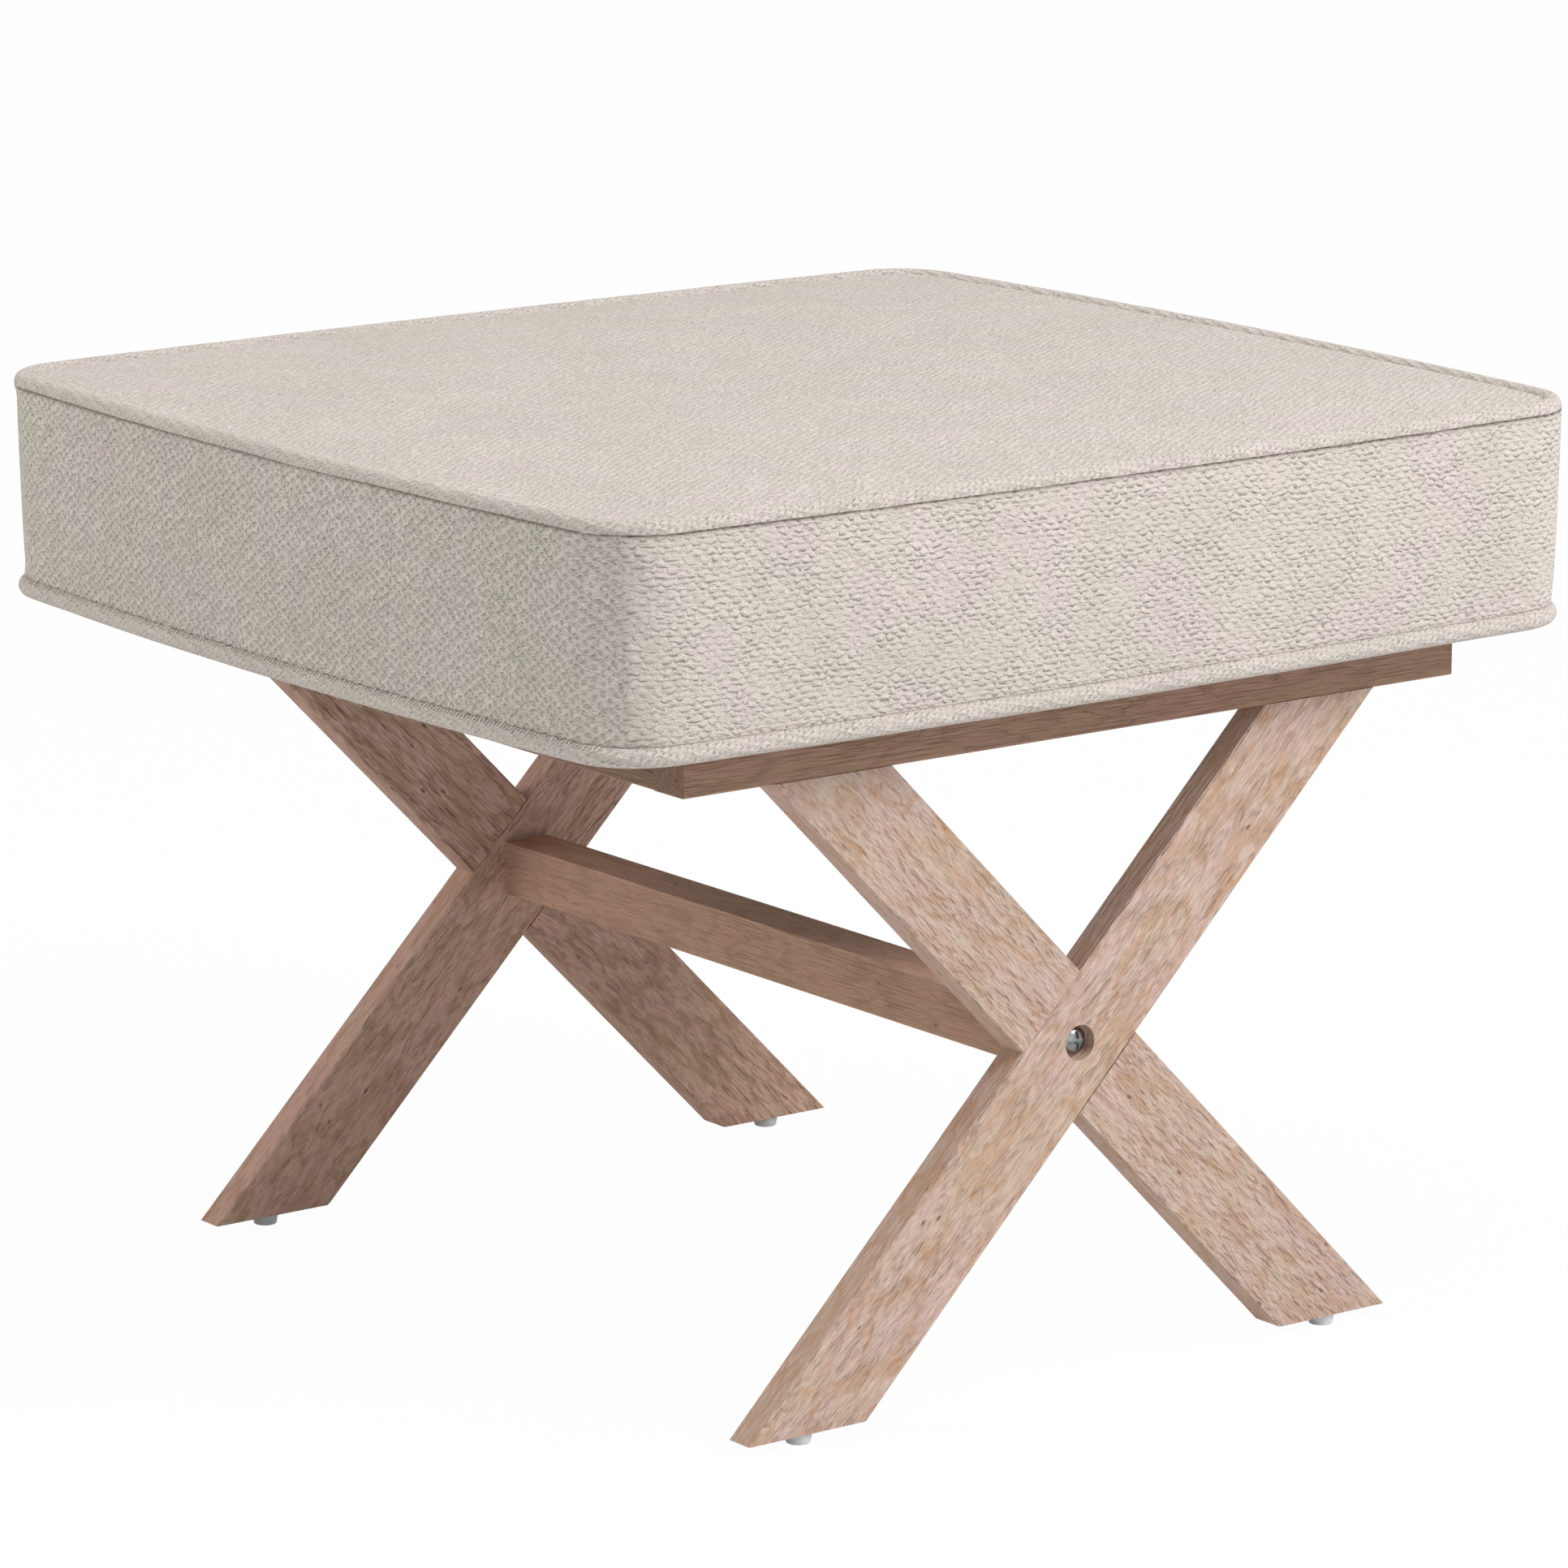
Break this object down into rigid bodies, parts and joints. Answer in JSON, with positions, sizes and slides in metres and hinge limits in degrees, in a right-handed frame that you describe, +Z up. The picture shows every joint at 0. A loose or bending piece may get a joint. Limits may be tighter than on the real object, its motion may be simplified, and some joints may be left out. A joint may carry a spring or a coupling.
{
  "type": "footstool",
  "caption": "Rectangular upholstered footstool with a piped box cushion on crossed wooden legs, joined low down by a stretcher.",
  "frame": {"origin": "On the floor, under the middle of the seat.", "axes": "+X along the long rails, towards the right seen from the front; +Y from the front crossed legs to the back ones; +Z up."},
  "size_m": [0.5326, 0.4886, 0.4064],
  "materials": {
    "fabric": "chunky woven linen, greige",
    "piping": "the cover's own fabric, cut on the bias over a cord",
    "foam": "open-cell upholstery foam",
    "dust_cloth": "thin black non-woven cloth",
    "plywood": "unfinished plywood",
    "leg_wood": "washed hardwood, dull satin",
    "rail_wood": "washed hardwood, dull satin",
    "dowel": "plain beech",
    "bolt_steel": "dark plated, semi-bright",
    "zinc": "zinc plated",
    "glide_plastic": "smooth moulded plastic"
  },
  "bodies": {
    "root": {"foam_block": "foam", "cover_top": "fabric", "boxing_front": "fabric", "boxing_back": "fabric", "boxing_left": "fabric", "boxing_right": "fabric", "piping_top": "piping", "piping_bottom": "piping", "cover_turn_under": "fabric", "dust_cover": "dust_cloth", "staples": "zinc", "seat_board": "plywood", "tee_nuts": "zinc", "seat_bolts": "bolt_steel", "rail_front": "rail_wood", "rail_back": "rail_wood", "rail_left": "rail_wood", "rail_right": "rail_wood", "corner_dowels": "dowel", "front_leg_outer": "leg_wood", "front_leg_inner": "leg_wood", "back_leg_outer": "leg_wood", "back_leg_inner": "leg_wood", "leg_dowels": "dowel", "stretcher": "rail_wood", "stretcher_inserts": "zinc", "bolt_front": "bolt_steel", "bolt_back": "bolt_steel", "glide_front_left": "glide_plastic", "glide_front_right": "glide_plastic", "glide_back_left": "glide_plastic", "glide_back_right": "glide_plastic", "glide_nails": "zinc"}
  },
  "joints": []
}
